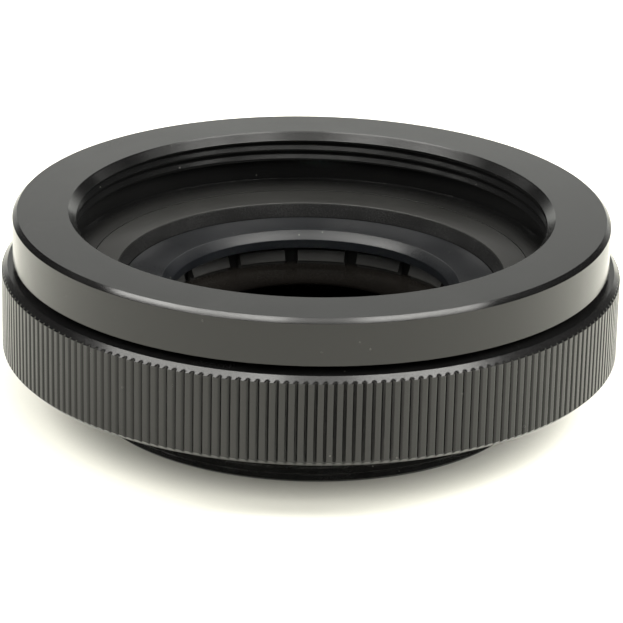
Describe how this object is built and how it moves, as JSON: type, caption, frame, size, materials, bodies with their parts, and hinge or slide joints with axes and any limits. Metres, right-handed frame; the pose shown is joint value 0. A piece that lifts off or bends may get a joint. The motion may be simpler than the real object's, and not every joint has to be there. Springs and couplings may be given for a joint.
{
  "type": "barlow lens",
  "caption": "Low barlow lens cell: threaded nose, knurled lock ring, and a smooth collar with an internal thread that turns on the barrel.",
  "frame": {"origin": "on the optical axis, in the plane of the nose's end face, on which the part stands", "axes": "+Z along the optical axis, from the nose up to the collar's top face; X and Y are free, because the part is round"},
  "size_m": [0.0654, 0.0654, 0.0208],
  "materials": {
    "barrel_black": "satin black anodised",
    "cell_black": "satin black anodised",
    "press_black": "matt black anodised",
    "plate_black": "satin black anodised, faintly blue",
    "collar_black": "fine-turned, satin black anodised",
    "knurl_black": "knurled, satin black anodised",
    "front_glass": "polished, with a purple and green coating",
    "rear_glass": "polished, with a purple and green coating",
    "shim_film": "matt black film",
    "washer_plastic": "waxy natural plastic",
    "screw_steel": "plain steel"
  },
  "bodies": {
    "barrel": {"lens_barrel": "barrel_black", "lens_cell": "cell_black", "seat_shim": "shim_film", "rear_lens": "rear_glass", "front_lens": "front_glass", "pressure_ring": "press_black", "lens_retaining_ring": "cell_black", "aperture_plate": "plate_black", "thrust_washer": "washer_plastic"},
    "collar": {"scope_collar": "collar_black", "flange_ring": "collar_black", "flange_screws": "screw_steel"},
    "washer": {"slip_washer": "washer_plastic"},
    "lock": {"lock_ring": "knurl_black"}
  },
  "joints": [
    {"name": "collar_rotation", "type": "hinge", "parent": "barrel", "child": "collar", "pos_m": [0, 0, 0.0125], "axis": [0, 0, 1], "continuous": true},
    {"name": "lock_ring_travel", "type": "slide", "parent": "barrel", "child": "washer", "axis": [0, 0, 1], "range_m": [0, 0.000605]},
    {"name": "lock_ring_turn", "type": "hinge", "parent": "washer", "child": "lock", "pos_m": [0, 0, 0.0104], "axis": [0, 0, 1], "range_deg": [0, 288]}
  ],
  "couplings": [
    {"joint": "lock_ring_travel", "follows": "lock_ring_turn", "m_per_rad": 0.00011937}
  ]
}
